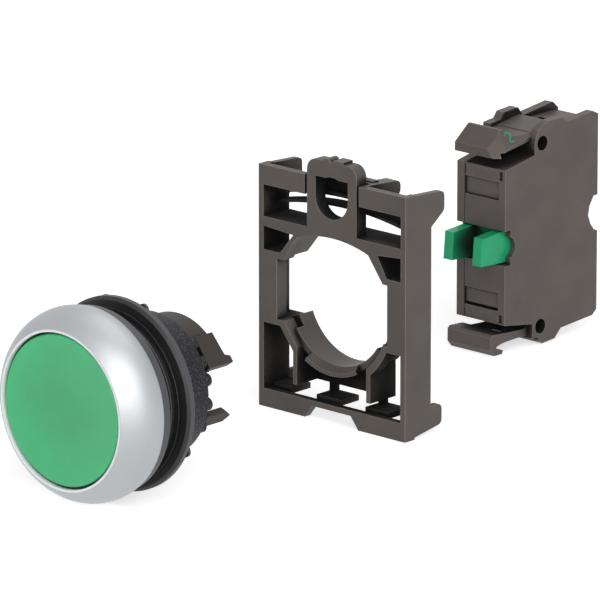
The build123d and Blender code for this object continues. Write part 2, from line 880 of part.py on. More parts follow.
    # Saddle that carries the operator, its front lip and its two claws
    saddle_outer = saddle_radius + saddle_wall
    saddle_section = [
        (saddle_start_depth, saddle_radius),
        (adapter_depth, saddle_radius),
        (adapter_depth, saddle_outer),
        (saddle_start_depth, saddle_outer),
    ]
    lip_section = [
        (0, saddle_radius + saddle_lead),
        (saddle_start_depth, saddle_radius),
        (saddle_start_depth, saddle_outer),
        (0, saddle_outer + saddle_lead / 2),
    ]
    claw_section = [
        (claw_start_depth, saddle_radius),
        (adapter_depth, saddle_radius),
        (adapter_depth, saddle_radius + claw_wall),
        (claw_start_depth, saddle_radius + claw_wall),
    ]
    right_claw_angles = (540 - claw_angles[1], 540 - claw_angles[0])
    for section, (start, end) in (
        (saddle_section, saddle_angles),
        (lip_section, saddle_lip_angles),
        (claw_section, claw_angles),
        (claw_section, right_claw_angles),
    ):
        with BuildSketch(opening_plane(start)):
            with BuildLine():
                Polyline(*section, close=True)
            make_face()
        revolve(axis=opening_axis, revolution_arc=end - start)
    # Cross wall under the saddle, with the floor pads and their legs
    cross_wall_depth = adapter_depth - cross_wall_thickness
    with BuildSketch(adapter_plane(cross_wall_depth)):
        with Locations((0, (rib_foot + cross_wall_top) / 2)):
            Rectangle(2 * right_rib_x + rib_wall, cross_wall_top - rib_foot)
        for step in (0, 1):
            leg_x = pad_offset + step * block_pitch - (pad_width - pad_leg_width) / 2
            with Locations((leg_x, (pad_top + rib_foot) / 2)):
                Rectangle(pad_leg_width, rib_foot - pad_top + 2 * pad_thickness)
        with Locations((0, opening_centre)):
            Circle(saddle_radius + saddle_wall / 2, mode=Mode.SUBTRACT)
    extrude(amount=-cross_wall_thickness)
    with BuildSketch(adapter_plane(pad_start_depth)):
        for step in (-1, 0, 1):
            with Locations((pad_offset + step * block_pitch, pad_top - pad_thickness / 2)):
                Rectangle(pad_width, pad_thickness)
    extrude(amount=pad_start_depth - adapter_depth)

# Contact block
block_half = block_width / 2
cover_inner = cover_thickness - block_half
wall_inner = block_half - side_wall
block_rear = [
    (block_depth, 16.9),
    (block_depth - 0.9, 16.9),
    (block_depth - 1.9, 15.4),
    (block_depth - 2.2, 13.9),
    (block_depth - 1.6, 12.4),
    (block_depth - 0.8, 11.4),
    (block_depth, 11.1),
    (block_depth, -1.8),
    (block_depth - 1.0, -2.6),
    (13.4, -3.1),
    (12.0, -4.5),
    (9.0, -4.7),
    (8.2, -4.1),
    (8.1, -3.5),
    (6.6, -3.5),
    (6.6, -1.1),
]
block_outline = [
    (0, 0),
    (0, face_height),
    (6.9, 26.2),
    (6.8, 27.4),
    (7.1, 28.8),
    (7.7, 30.0),
    (8.8, 30.7),
    (9.9, 31.1),
    (13.4, 31.1),
    (14.7, 30.2),
    (block_depth - 1.3, 30.7),
    (block_depth, 30.1),
] + block_rear
cover_outline = [
    (0, 0),
    (0, face_height),
    (5.5, 26.0),
    (6.1, 30.0),
    (8.4, 30.2),
    (9.2, 31.2),
    (12.4, 31.4),
    (13.6, 29.9),
    (block_depth - 1.2, 30.7),
    (block_depth, 29.6),
] + block_rear
roof_cut = [
    (7.5, 29.6),
    (roof_moat[0], 30.3),
    (roof_moat[0], roof_moat_height),
    (roof_moat[1], roof_moat_height),
    (roof_moat[1], roof_box_height),
    (roof_box_end, roof_box_height),
    (roof_box_end, roof_moat_height),
    (2 * block_depth, roof_moat_height),
    (2 * block_depth, 2 * face_height),
    (7.5, 2 * face_height),
]
top_latch_outline = [
    latch_nose,
    (latch_nose[0], 26.7),
    (0.3, 26.7),
    (0.5, 27.4),
    (6.1, 28.2),
    (8.4, 28.6),
    (8.4, 29.5),
    (3.4, 29.4),
    (3.0, 30.5),
    (2.5, 30.5),
]
lower_latch_outline = [
    (-2.1, -1.8),
    (-1.6, -1.4),
    (1.4, -1.6),
    (1.4, -3.1),
    (0.4, -3.2),
    (-0.6, -3.4),
    (-0.9, -3.8),
    (0.1, -4.0),
    (0.85, -4.3),
    (0.6, -block_drop),
    (-1.2, -block_drop),
    (-2.1, -3.8),
]
lower_arm_outline = [
    (0.9, -1.6),
    (5.5, -1.9),
    (6.4, -1.5),
    (7.4, -1.5),
    (7.4, -3.3),
    (5.3, -3.0),
    (0.9, -3.1),
]
block_pin_holes = (upper_pin_hole, lower_pin_hole)


def block_plane(x):
    """Plane across the contact block; local x is depth and local y is height over the face's foot."""
    return Plane(origin=(block_x + x, block_y, block_drop), x_dir=(0, 1, 0), z_dir=(1, 0, 0))


def block_facing(depth):
    """Plane parallel to the block's front face; local x is sideways and local y is height."""
    return facing_plane(block_y + depth, block_x, block_drop)


def between(low, high):
    """Middle and length of a span."""
    return (low + high) / 2, high - low


terminal_heights = (
    plunger_axis_height + terminal_spacing / 2,
    plunger_axis_height - terminal_spacing / 2,
)
tip_heights = (plunger_axis_height + tip_spacing / 2, plunger_axis_height - tip_spacing / 2)
bridge_front = front_wall + flush_gap + window_start + window_length - bridge_thickness - flush_gap
bridge_rear = bridge_front + bridge_thickness
bridge_travel = plunger_stroke - bridge_lag
fixed_tip_front = bridge_rear + tip_thickness + bridge_travel + flush_gap
strip_front = fixed_tip_front + tip_thickness
strip_rear = strip_front + strip_thickness
screw_pocket_end = plunger_bay_end + screw_pocket_length
bay_spans = (
    (front_wall, plunger_bay_end, plunger_height + 2 * seat_gap),
    (bridge_bay_start, plunger_bay_end, bridge_bay_length),
    (terminal_bay_start, plunger_bay_end, terminal_spacing + terminal_bay_height),
)
groove_half = ear_outer + seat_gap
window_bulge_centre = ear_window_depth + window_bulge_reach - window_bulge_radius
ear_root_end = ear_window_depth + window_bulge_reach + ear_root_lap
ear_groove_length = ear_root_end + plunger_stroke + seat_gap

with BuildPart() as block_housing:
    # Latch over the face with two facets at its right end, latch bar under the face, cut to the cover
    for outline, reach in ((top_latch_outline, latch_right), (lower_latch_outline, lower_latch_right)):
        with BuildSketch(block_plane(-block_half)):
            with BuildLine():
                Polyline(*outline, close=True)
            make_face()
        extrude(amount=block_half + reach)
    for corner, outward in latch_facets:
        facet_corner = Vector(block_x, block_y, block_drop) + corner
        with BuildSketch(Plane(origin=facet_corner, z_dir=outward)):
            Rectangle(latch_facet_size, latch_facet_size)
        extrude(amount=latch_facet_size, mode=Mode.SUBTRACT)
    with BuildSketch(block_plane(-block_half)):
        with BuildLine():
            Polyline(*cover_outline, close=True)
        make_face()
    extrude(amount=cover_thickness, mode=Mode.SUBTRACT)
    for start in (cover_inner, lower_latch_right - latch_arm_width):
        with BuildSketch(block_plane(start)):
            with BuildLine():
                Polyline(*lower_arm_outline, close=True)
            make_face()
        extrude(amount=latch_arm_width)
    with BuildSketch(block_plane(cover_inner)):
        with BuildLine():
            Polyline(*block_outline, close=True)
        make_face()
    extrude(amount=block_half - cover_inner)
    # Chambers, open towards the cover
    with BuildSketch(block_plane(cover_inner)):
        for start, end, height in bay_spans:
            middle, length = between(start, end)
            with Locations((middle, plunger_axis_height)):
                Rectangle(length, height)
    extrude(amount=wall_inner - cover_inner, mode=Mode.SUBTRACT)
    # Roof set back between the side walls: a ramp, a moat and a raised box
    with BuildSketch(block_plane(cover_inner)):
        with BuildLine():
            Polyline(*roof_cut, close=True)
        make_face()
    extrude(amount=wall_inner - cover_inner, mode=Mode.SUBTRACT)
    with BuildSketch(block_plane(roof_box_right)):
        with Locations((roof_moat[0], roof_moat_height)):
            Rectangle(block_depth, face_height, align=Align.MIN)
    extrude(amount=wall_inner - roof_box_right, mode=Mode.SUBTRACT)
    # Window for the plunger's ears and the grooves that they run in
    with BuildSketch(block_plane(cover_inner)):
        with Locations((0, plunger_axis_height)):
            Rectangle(2 * ear_window_depth, ear_window_height)
        with Locations((window_bulge_centre, plunger_axis_height)):
            Circle(window_bulge_radius)
    extrude(amount=block_half - cover_inner, mode=Mode.SUBTRACT)
    with BuildSketch(block_plane(cover_inner)):
        with Locations((ear_groove_length / 2, plunger_axis_height)):
            Rectangle(ear_groove_length, ear_window_height)
    extrude(amount=groove_half - cover_inner, mode=Mode.SUBTRACT)
    # Slots for the cover's tabs and shallow fields on the front face
    for low, high in tab_spans:
        middle, height = between(low, high)
        with BuildSketch(block_plane(cover_inner)):
            with Locations((0, middle)):
                Rectangle(2 * tab_depth, height + 2 * flush_gap)
        extrude(amount=tab_reach + tab_slot - cover_inner, mode=Mode.SUBTRACT)
    for low, high, depth in face_fields:
        with BuildSketch(block_facing(0)):
            with Locations((cover_inner, low)):
                Rectangle(tab_reach - cover_inner, high - low, align=Align.MIN)
        extrude(amount=-depth, mode=Mode.SUBTRACT)
    # Screw pockets with driver holes at the rear, wire entries at the top and bottom, and the pin holes
    for start, end, radius in (
        (plunger_bay_end, screw_pocket_end, screw_pocket_radius),
        (screw_pocket_end, block_depth, driver_hole_radius),
    ):
        with BuildSketch(block_facing(start)):
            for height in terminal_heights:
                with Locations((0, height)):
                    Circle(radius)
        extrude(amount=start - end, mode=Mode.SUBTRACT)
    with BuildSketch(block_plane(-wire_entry_width / 2)):
        with Locations((strip_rear + wire_entry_depth / 2, plunger_axis_height)):
            Rectangle(wire_entry_depth, 2 * face_height)
        with Locations((strip_rear, plunger_axis_height)):
            Rectangle(4 * wire_entry_depth, terminal_spacing, mode=Mode.SUBTRACT)
    extrude(amount=wire_entry_width, mode=Mode.SUBTRACT)
    with BuildSketch(block_plane(cover_inner)):
        with Locations(*block_pin_holes):
            Circle(pin_hole_radius)
    extrude(amount=block_half - cover_inner, mode=Mode.SUBTRACT)

with BuildPart() as block_cover:
    with BuildSketch(block_plane(-block_half)):
        with BuildLine():
            Polyline(*cover_outline, close=True)
        make_face()
        with Locations((0, plunger_axis_height)):
            Rectangle(2 * ear_window_depth, ear_window_height, mode=Mode.SUBTRACT)
        with Locations((window_bulge_centre, plunger_axis_height)):
            Circle(window_bulge_radius, mode=Mode.SUBTRACT)
        with Locations(*block_pin_holes):
            Circle(pin_hole_radius, mode=Mode.SUBTRACT)
    extrude(amount=cover_thickness)
    with BuildSketch(block_plane(-groove_half)):
        with Locations((ear_groove_length / 2, plunger_axis_height)):
            Rectangle(ear_groove_length, ear_window_height)
    extrude(amount=cover_thickness, mode=Mode.SUBTRACT)
    for low, high in tab_spans:
        middle, height = between(low, high)
        with BuildSketch(block_plane(cover_inner)):
            with Locations((tab_depth / 2, middle)):
                Rectangle(tab_depth, height)
        extrude(amount=tab_reach - cover_inner)

plunger_front = front_wall + flush_gap
plunger_end = plunger_front + plunger_length

with BuildPart() as contact_plunger:
    with BuildSketch(block_facing(plunger_front)):
        with Locations((0, plunger_axis_height)):
            Rectangle(plunger_width, plunger_height)
    extrude(amount=-plunger_length)
    with BuildSketch(block_plane(-ear_outer)):
        with BuildLine():
            Polyline(
                (-ear_reach, plunger_axis_height - ear_tip_height / 2),
                (ear_lean - ear_reach, plunger_axis_height + ear_tip_height / 2),
                (ear_knee, plunger_axis_height + ear_root_height / 2),
                (ear_root_end, plunger_axis_height + ear_root_height / 2),
                (ear_root_end, plunger_axis_height - ear_root_height / 2),
                (ear_knee, plunger_axis_height - ear_root_height / 2),
                close=True,
            )
        make_face()
    extrude(amount=2 * ear_outer)
    with BuildSketch(block_facing(plunger_front)):
        with Locations((0, plunger_axis_height)):
            Rectangle(2 * ear_inner, plunger_height)
    extrude(amount=plunger_front + ear_reach, mode=Mode.SUBTRACT)
    # Window for the bridge and the bore for the spring
    with BuildSketch(block_plane(-window_width / 2)):
        with Locations((plunger_front + window_start + window_length / 2, plunger_axis_height)):
            Rectangle(window_length, plunger_height)
    extrude(amount=window_width, mode=Mode.SUBTRACT)
    with BuildSketch(block_facing(plunger_end)):
        with Locations((0, plunger_axis_height)):
            Circle(spring_bore_radius)
    extrude(amount=spring_bore_depth, mode=Mode.SUBTRACT)

block_centre = (block_x, block_y, block_drop + plunger_axis_height)
plunger_spring_start = plunger_end - spring_bore_depth + flush_gap
plunger_spring_path = coil_path(
    Vector(*block_centre) + (0, plunger_spring_start, 0),
    plunger_bay_end - plunger_spring_start - flush_gap,
    plunger_spring_radius,
    block_spring_wire,
    plunger_spring_turns,
)

with BuildPart() as plunger_spring:
    with BuildSketch(Plane(origin=plunger_spring_path @ 0, z_dir=plunger_spring_path % 0)):
        RegularPolygon(block_spring_wire / 2, wire_sides)
    sweep(path=plunger_spring_path, is_frenet=True)

with BuildPart() as contact_bridge:
    with BuildSketch(block_facing(bridge_front)):
        with Locations((0, plunger_axis_height)):
            Rectangle(bridge_width, bridge_length)
    extrude(amount=-bridge_thickness)
    fillet(contact_bridge.edges().filter_by(Axis.Y), bridge_corner)

with BuildPart() as bridge_tips:
    with BuildSketch(block_facing(bridge_rear)):
        for height in tip_heights:
            with Locations((0, height)):
                Circle(tip_radius)
    extrude(amount=-tip_thickness)

bridge_spring_start = plunger_front + window_start + flush_gap
bridge_spring_path = coil_path(
    Vector(*block_centre) + (0, bridge_spring_start, 0),
    bridge_front - bridge_spring_start - flush_gap,
    bridge_spring_radius,
    block_spring_wire,
    bridge_spring_turns,
)

with BuildPart() as bridge_spring:
    with BuildSketch(Plane(origin=bridge_spring_path @ 0, z_dir=bridge_spring_path % 0)):
        RegularPolygon(block_spring_wire / 2, wire_sides)
    sweep(path=bridge_spring_path, is_frenet=True)

with BuildPart() as fixed_tips:
    with BuildSketch(block_facing(fixed_tip_front)):
        for height in tip_heights:
            with Locations((0, height)):
                Circle(tip_radius)
    extrude(amount=-tip_thickness)

# Fixed contacts and terminals: the same set above and below the plunger
fixed_contacts, clamp_plates, terminal_screws = [], [], []
clamp_plate_rear = clamp_plate_front + clamp_plate_thickness

for side, height in zip((1, -1), terminal_heights):
    inner_end = plunger_axis_height + side * strip_inner_spacing / 2
    outer_end = height + side * strip_width / 2
    with BuildPart() as fixed_contact:
        with BuildSketch(block_facing(strip_front)):
            with Locations((0, (inner_end + outer_end) / 2)):
                Rectangle(strip_width, abs(outer_end - inner_end))
            with Locations((0, height)):
                Circle(screw_radius + running_fit, mode=Mode.SUBTRACT)
        extrude(amount=-strip_thickness)
    with BuildPart() as clamp_plate:
        with BuildSketch(block_facing(clamp_plate_front)):
            with Locations((0, height)):
                RectangleRounded(clamp_plate_size, clamp_plate_size, screw_slot_width)
                Circle(screw_radius, mode=Mode.SUBTRACT)
        extrude(amount=-clamp_plate_thickness)
    with BuildPart() as terminal_screw:
        with BuildSketch(block_facing(clamp_plate_rear)):
            with Locations((0, height)):
                Circle(screw_head_radius)
        extrude(amount=-screw_head_thickness)
        with BuildSketch(block_facing(clamp_plate_rear)):
            with Locations((0, height)):
                Circle(screw_radius)
        extrude(amount=screw_length)
        with BuildSketch(block_facing(clamp_plate_rear + screw_head_thickness)):
            with Locations((0, height)):
                Rectangle(2 * screw_head_radius, screw_slot_width)
                Rectangle(screw_slot_width, screw_cross_length)
        extrude(amount=screw_slot_depth, mode=Mode.SUBTRACT)
    fixed_contacts.append(fixed_contact)
    clamp_plates.append(clamp_plate)
    terminal_screws.append(terminal_screw)

pieces = {
    "front_ring": front_ring,
    "lip_seal": lip_seal,
    "button_cap": button_cap,
    "bezel_base": bezel_base,
    "collar_ring": collar_ring,
    "panel_gasket": panel_gasket,
    "operator_body": operator_body,
    "coupling_cage": coupling_cage,
    "button_carrier": button_carrier,
    "return_spring": return_spring,
    "adapter_frame": adapter_frame,
    "block_housing": block_housing,
    "block_cover": block_cover,
    "contact_plunger": contact_plunger,
    "plunger_spring": plunger_spring,
    "contact_bridge": contact_bridge,
    "bridge_tips": bridge_tips,
    "bridge_spring": bridge_spring,
    "fixed_contact_upper": fixed_contacts[0],
    "fixed_contact_lower": fixed_contacts[1],
    "fixed_tips": fixed_tips,
    "clamp_plate_upper": clamp_plates[0],
    "clamp_plate_lower": clamp_plates[1],
    "terminal_screw_upper": terminal_screws[0],
    "terminal_screw_lower": terminal_screws[1],
}
for node, piece in pieces.items():
    piece.part.label = node
    export_step(piece.part, f"parts/{node}.step")
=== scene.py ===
"""Dresses the pushbutton switch: its operator, its fixing adapter and its contact block."""

import math

import bmesh
import bpy
from bpy.props import FloatProperty, FloatVectorProperty, IntProperty, PointerProperty
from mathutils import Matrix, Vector


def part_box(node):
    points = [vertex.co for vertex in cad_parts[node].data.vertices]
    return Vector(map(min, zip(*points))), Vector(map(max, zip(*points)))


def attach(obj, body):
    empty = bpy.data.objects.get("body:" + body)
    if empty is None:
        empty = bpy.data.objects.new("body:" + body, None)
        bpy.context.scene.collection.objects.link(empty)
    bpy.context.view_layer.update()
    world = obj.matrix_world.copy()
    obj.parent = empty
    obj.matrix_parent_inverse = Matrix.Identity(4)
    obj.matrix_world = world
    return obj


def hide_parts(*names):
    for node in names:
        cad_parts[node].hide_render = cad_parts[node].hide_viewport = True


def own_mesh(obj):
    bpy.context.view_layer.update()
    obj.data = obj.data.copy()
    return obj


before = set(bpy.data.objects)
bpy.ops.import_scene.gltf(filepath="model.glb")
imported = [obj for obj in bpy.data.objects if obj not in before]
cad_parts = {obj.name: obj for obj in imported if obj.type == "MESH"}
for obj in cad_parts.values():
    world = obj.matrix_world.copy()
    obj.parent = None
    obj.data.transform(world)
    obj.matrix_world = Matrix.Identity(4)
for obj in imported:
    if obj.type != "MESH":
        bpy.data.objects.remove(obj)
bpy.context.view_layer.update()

bl_info = {
    "name": "Pushbutton Switch",
    "version": (1, 0, 0),
    "blender": (4, 5, 0),
    "location": "View3D > Sidebar > Switch",
    "description": "Finishes and springs of a panel pushbutton with its adapter and contact block",
    "category": "Object",
}

MM = 0.001

# Noise scales, per metre
FLOW_CLOUDS = 160.0
MOULD_GRAIN = 5200.0
NECK_FLECKS = 3800.0
RING_CLOUDS = 220.0
RING_GRAIN = 9000.0
METAL_PATCHES = 700.0
METAL_SCRATCHES = 2600.0

NOISE_MIDDLE = (0.3, 0.7)  # where most of a noise texture's values lie
FLECK_SPAN = (0.57, 0.70)  # noise values of bare plastic and of a full fleck
EDGE_SPAN = (0.995, 0.80)  # cosines of soft and hard normal: flat face and full edge
# HOLLOW_SPAN sets painted shade: colour goes near black at the first openness and is kept as it is
# at the second.
HOLLOW_SPAN = (0.56, 0.86)  # openness of a black hollow and of a free face
HOLLOW_REACH = 14.0 * MM  # how far off a hollow's walls may be
DEAD_TURNS = 0.9  # closed turns at each end of a spring
DEAD_PITCH = 1.04  # their pitch in wire diameters
FLOOR_REACH = 3.0  # half width of the floor
DIGIT_TURNS = (0.2, 0.7, 1.2, 1.7, 2.2, 2.7, 3.2)  # along the bow of the 2, in radians
DIGIT_FOOT = ((0.30, 0.0), (-0.55, -0.95), (-0.50, -0.95), (0.60, -0.95))  # in digit sizes


def colour_property(name, description, default):
    """Colour setting in scene-linear values."""
    return FloatVectorProperty(
        name=name, description=description, default=default, subtype="COLOR", min=0.0, max=1.0
    )


def length_property(name, description, default):
    """Length setting, shown in the scene's units."""
    return FloatProperty(name=name, description=description, default=default, unit="LENGTH")


def place_property(name, description, default):
    """Position or offset setting."""
    return FloatVectorProperty(
        name=name, description=description, default=default, subtype="XYZ", unit="LENGTH"
    )


def angle_property(name, description, degrees):
    """Angle setting, given in degrees."""
    return FloatProperty(
        name=name, description=description, default=math.radians(degrees), unit="ROTATION"
    )


def plain_property(name, description, default):
    """Setting without a unit: a power, a level or a focal length."""
    return FloatProperty(name=name, description=description, default=default)


def turns_property(name, description, default):
    """Number of turns of a spring."""
    return IntProperty(name=name, description=description, default=default)


class SwitchFinishes(bpy.types.PropertyGroup):
    """Colours and surface qualities of the switch."""

    silver: colour_property("Silver", "Satin metal of the front ring", (0.425, 0.44, 0.455))
    cap_green: colour_property("Cap green", "Colour of the button cap", (0.042, 0.44, 0.172))
    plunger_green: colour_property("Plunger green", "Colour of the plunger", (0.006, 0.37, 0.155))
    black: colour_property("Black", "Polished plastic behind the ring", (0.005, 0.005, 0.006))
    slate: colour_property("Slate", "Plastic of the collar and gasket", (0.050, 0.052, 0.058))
    neck: colour_property("Neck", "Plastic between the neck's flecks", (0.009, 0.009, 0.011))
    rubber: colour_property("Rubber", "Lip seal of the cap", (0.014, 0.014, 0.015))
    adapter: colour_property("Adapter", "Plastic of the fixing adapter", (0.096, 0.083, 0.074))
    block: colour_property("Block", "Plastic of the contact block", (0.100, 0.083, 0.076))
    cage: colour_property("Cage", "Plastic of the coupling cage", (0.038, 0.031, 0.027))
    brass: colour_property("Brass", "Stamped contact strips", (0.68, 0.44, 0.16))
    contact_silver: colour_property("Contact silver", "Contact tips", (0.82, 0.81, 0.78))
    zinc: colour_property("Zinc", "Plated screws and plates", (0.60, 0.58, 0.52))
    spring_steel: colour_property("Spring steel", "Drawn spring wire", (0.46, 0.46, 0.47))
    edge_radius: length_property("Edge radius", "Soft edge of the mouldings", 0.20 * MM)
    grain_depth: length_property("Grain depth", "Height of the moulded grain", 0.012 * MM)
    # The pale lip is a painted highlight: inside this radius and in front of this depth the ring
    # is drawn non-metallic and twice as light.
    highlight_lip_radius: length_property("Lip radius", "Outer radius of the ring's pale lip", 12.24 * MM)
    highlight_lip_depth: length_property("Lip depth", "Depth of the pale lip", 0.8 * MM)
    gasket_face: length_property("Gasket face", "Depth of the gasket's black side", 0.4 * MM)
    cover_wall: length_property("Cover wall", "Cover's outer side to its seam", 1.7 * MM)
    digit_size: length_property("Digit size", "Half height of the printed digit", 0.95 * MM)
    digit_stroke: length_property("Digit stroke", "Width of the printed stroke", 0.24 * MM)
    digit_place: place_property(
        "Digit place",
        "Digit from the block's left side, the plunger's front and the block's top",
        (7.75 * MM, 7.75 * MM, -1.70 * MM),
    )


class SwitchSprings(bpy.types.PropertyGroup):
    """Wire of the three springs."""

    return_wire: length_property("Return wire", "Wire of the button's spring", 0.8 * MM)
    block_wire: length_property("Block wire", "Wire of the springs in the block", 0.35 * MM)
    return_turns: turns_property("Return turns", "Turns of the button's spring", 7)
    plunger_turns: turns_property("Plunger turns", "Turns of the plunger's spring", 8)
    bridge_turns: turns_property("Bridge turns", "Turns of the bridge's spring", 6)


class SwitchStage(bpy.types.PropertyGroup):
    """Camera and light."""

    azimuth: angle_property("Azimuth", "Turn of the view from -Y towards +X", 42.6)
    elevation: angle_property("Elevation", "View over the horizon", 15.8)
    distance: length_property("Distance", "Camera to its target", 1.248)
    lens: plain_property("Lens", "Focal length in millimetres", 499.0)
    target: place_property(
        "Target", "Point in the middle of the picture", (2.45 * MM, -14.0 * MM, 22.0 * MM)
    )
    key_power: plain_property("Key", "Power of the main lamp", 16.0)
    fill_power: plain_property("Fill", "Power of the side lamp", 3.2)
    sheen_power: plain_property("Sheen", "Power of the lamp for gloss only", 1.6)
    rear_power: plain_property("Rear", "Power of the lamp on the far sides", 9.0)
    world_level: plain_property("Room", "Even light of the room", 0.25)
    floor_glow: plain_property("Floor", "What the eye sees besides the lit floor", 0.62)


def finishes():
    return bpy.context.scene.switch_finishes


# Node helpers


def link(tree, source, target):
    tree.links.new(source, target)


def new_group(name, inputs, outputs):
    """Empty node group with named float and colour sockets; returns it with its two ends."""
    group = bpy.data.node_groups.new(name, "ShaderNodeTree")
    for label, kind, default in inputs:
        socket = group.interface.new_socket(label, in_out="INPUT", socket_type=kind)
        socket.default_value = default
    for label, kind in outputs:
        group.interface.new_socket(label, in_out="OUTPUT", socket_type=kind)
    return group, group.nodes.new("NodeGroupInput"), group.nodes.new("NodeGroupOutput")


def add(tree, kind, operation=None, **values):
    """Node of a kind with its operation and its numbered or named inputs set."""
    node = tree.nodes.new(kind)
    if operation:
        node.operation = operation
    for key, value in values.items():
        node.inputs[int(key[1:]) if key[1:].isdigit() else key].default_value = value
    return node


def map_range(tree, source, low, high, new_low, new_high):
    node = tree.nodes.new("ShaderNodeMapRange")
    for index, value in ((1, low), (2, high), (3, new_low), (4, new_high)):
        node.inputs[index].default_value = value
    link(tree, source, node.inputs[0])
    return node.outputs[0]


def noise(tree, vector, scale, detail=2.0, roughness=0.5):
    node = tree.nodes.new("ShaderNodeTexNoise")
    node.inputs["Scale"].default_value = scale
    node.inputs["Detail"].default_value = detail
    node.inputs["Roughness"].default_value = roughness
    link(tree, vector, node.inputs["Vector"])
    return node.outputs[0]


def edge_group():
    """Edges: a mask for painted highlights along them and a rounded normal, from the difference of
    soft and hard normals.
    """
    name = "soft_edges"
    if name in bpy.data.node_groups:
        return bpy.data.node_groups[name]
    group, source, sink = new_group(
        name,
        [("Radius", "NodeSocketFloat", 0.15 * MM)],
        [("Mask", "NodeSocketFloat"), ("Normal", "NodeSocketVector")],
    )
    bevel = group.nodes.new("ShaderNodeBevel")
    bevel.samples = 6
    link(group, source.outputs["Radius"], bevel.inputs["Radius"])
    geometry = group.nodes.new("ShaderNodeNewGeometry")
    dot = add(group, "ShaderNodeVectorMath", "DOT_PRODUCT")
    link(group, bevel.outputs[0], dot.inputs[0])
    link(group, geometry.outputs["Normal"], dot.inputs[1])
    link(group, map_range(group, dot.outputs["Value"], *EDGE_SPAN, 0.0, 1.0), sink.inputs["Mask"])
    link(group, bevel.outputs[0], sink.inputs["Normal"])
    return group


def moulding_group():
    """Moulded plastic: grain, flow clouds, painted highlights along edges, and painted shade in
    hollows, which are also made rougher.
    """
    name = "moulded_surface"
    if name in bpy.data.node_groups:
        return bpy.data.node_groups[name]
    group, source, sink = new_group(
        name,
        [
            ("Colour", "NodeSocketColor", (0.1, 0.1, 0.1, 1.0)),
            ("Roughness", "NodeSocketFloat", 0.45),
            ("Clouds", "NodeSocketFloat", 0.10),
            ("Edge", "NodeSocketFloat", 0.0),
            ("Edge highlight", "NodeSocketFloat", 0.35),
        ],
        [
            ("Color", "NodeSocketColor"),
            ("Roughness", "NodeSocketFloat"),
            ("Height", "NodeSocketFloat"),
        ],
    )
    place = group.nodes.new("ShaderNodeTexCoord").outputs["Object"]
    clouds = noise(group, place, FLOW_CLOUDS, 3.0, 0.55)
    grain = noise(group, place, MOULD_GRAIN, 2.0, 0.6)
    shade = add(group, "ShaderNodeMath", "MULTIPLY_ADD")
    link(group, map_range(group, clouds, *NOISE_MIDDLE, -1.0, 1.0), shade.inputs[0])
    link(group, source.outputs["Clouds"], shade.inputs[1])
    shade.inputs[2].default_value = 1.0
    # Painted highlight: the edge mask times the edge highlight gain lightens the colour along
    # edges.
    edge_highlight = add(group, "ShaderNodeMath", "MULTIPLY_ADD")
    link(group, source.outputs["Edge"], edge_highlight.inputs[0])
    link(group, source.outputs["Edge highlight"], edge_highlight.inputs[1])
    link(group, shade.outputs[0], edge_highlight.inputs[2])
    # Painted shade: colour darkens to near black where ambient occlusion finds the piece's own
    # walls close by; these hollows are also made rougher.
    hollow = group.nodes.new("ShaderNodeAmbientOcclusion")
    hollow.samples = 8
    hollow.only_local = True
    hollow.inputs["Distance"].default_value = HOLLOW_REACH
    hollow_shade = add(group, "ShaderNodeMath", "MULTIPLY")
    link(group, edge_highlight.outputs[0], hollow_shade.inputs[0])
    link(group, map_range(group, hollow.outputs["AO"], *HOLLOW_SPAN, 0.01, 1.0), hollow_shade.inputs[1])
    tint = add(group, "ShaderNodeVectorMath", "SCALE")
    link(group, source.outputs["Colour"], tint.inputs[0])
    link(group, hollow_shade.outputs[0], tint.inputs["Scale"])
    link(group, tint.outputs[0], sink.inputs["Color"])
    rough = add(group, "ShaderNodeMath", "ADD")
    link(group, source.outputs["Roughness"], rough.inputs[0])
    link(group, map_range(group, clouds, *NOISE_MIDDLE, -0.05, 0.05), rough.inputs[1])
    dull = add(group, "ShaderNodeMath", "ADD")
    link(group, rough.outputs[0], dull.inputs[0])
    link(group, map_range(group, hollow.outputs["AO"], *HOLLOW_SPAN, 0.55, 0.0), dull.inputs[1])
    link(group, dull.outputs[0], sink.inputs["Roughness"])
    link(group, grain, sink.inputs["Height"])
    return group


def place_group(tree, group):
    node = tree.nodes.new("ShaderNodeGroup")
    node.node_tree = group
    return node


def new_material(name):
    """Empty Principled material; returns it with its node tree and its shader."""
    material = bpy.data.materials.new(name)
    material.use_nodes = True
    tree = material.node_tree
    return material, tree, tree.nodes["Principled BSDF"]


def add_bump(tree, shader, height, depth, normal=None):
    bump = tree.nodes.new("ShaderNodeBump")
    bump.inputs["Strength"].default_value = 1.0
    bump.inputs["Distance"].default_value = depth
    link(tree, height, bump.inputs["Height"])
    if normal is not None:
        link(tree, normal, bump.inputs["Normal"])
    link(tree, bump.outputs[0], shader.inputs["Normal"])


def moulded_plastic(
    name, colour, roughness, clouds=0.08, lift=0.5, specular=0.5, coat=0.0, depth=1.0
):
    """Moulded plastic with soft edges, grain, slight flow clouds, painted highlights along edges
    and painted shade in hollows.
    """
    material, tree, shader = new_material(name)
    edges = place_group(tree, edge_group())
    edges.inputs["Radius"].default_value = finishes().edge_radius
    surface = place_group(tree, moulding_group())
    surface.inputs["Colour"].default_value = (*colour, 1.0)
    surface.inputs["Roughness"].default_value = roughness
    surface.inputs["Clouds"].default_value = clouds
    # The edge highlight gain sets how much lighter the edges are painted: a painted highlight.
    surface.inputs["Edge highlight"].default_value = lift
    link(tree, edges.outputs["Mask"], surface.inputs["Edge"])
    link(tree, surface.outputs["Color"], shader.inputs["Base Color"])
    link(tree, surface.outputs["Roughness"], shader.inputs["Roughness"])
    shader.inputs["Specular IOR Level"].default_value = specular
    shader.inputs["Coat Weight"].default_value = coat
    shader.inputs["Coat Roughness"].default_value = 0.12
    grain_depth = finishes().grain_depth * depth
    add_bump(tree, shader, surface.outputs["Height"], grain_depth, edges.outputs["Normal"])
    return material


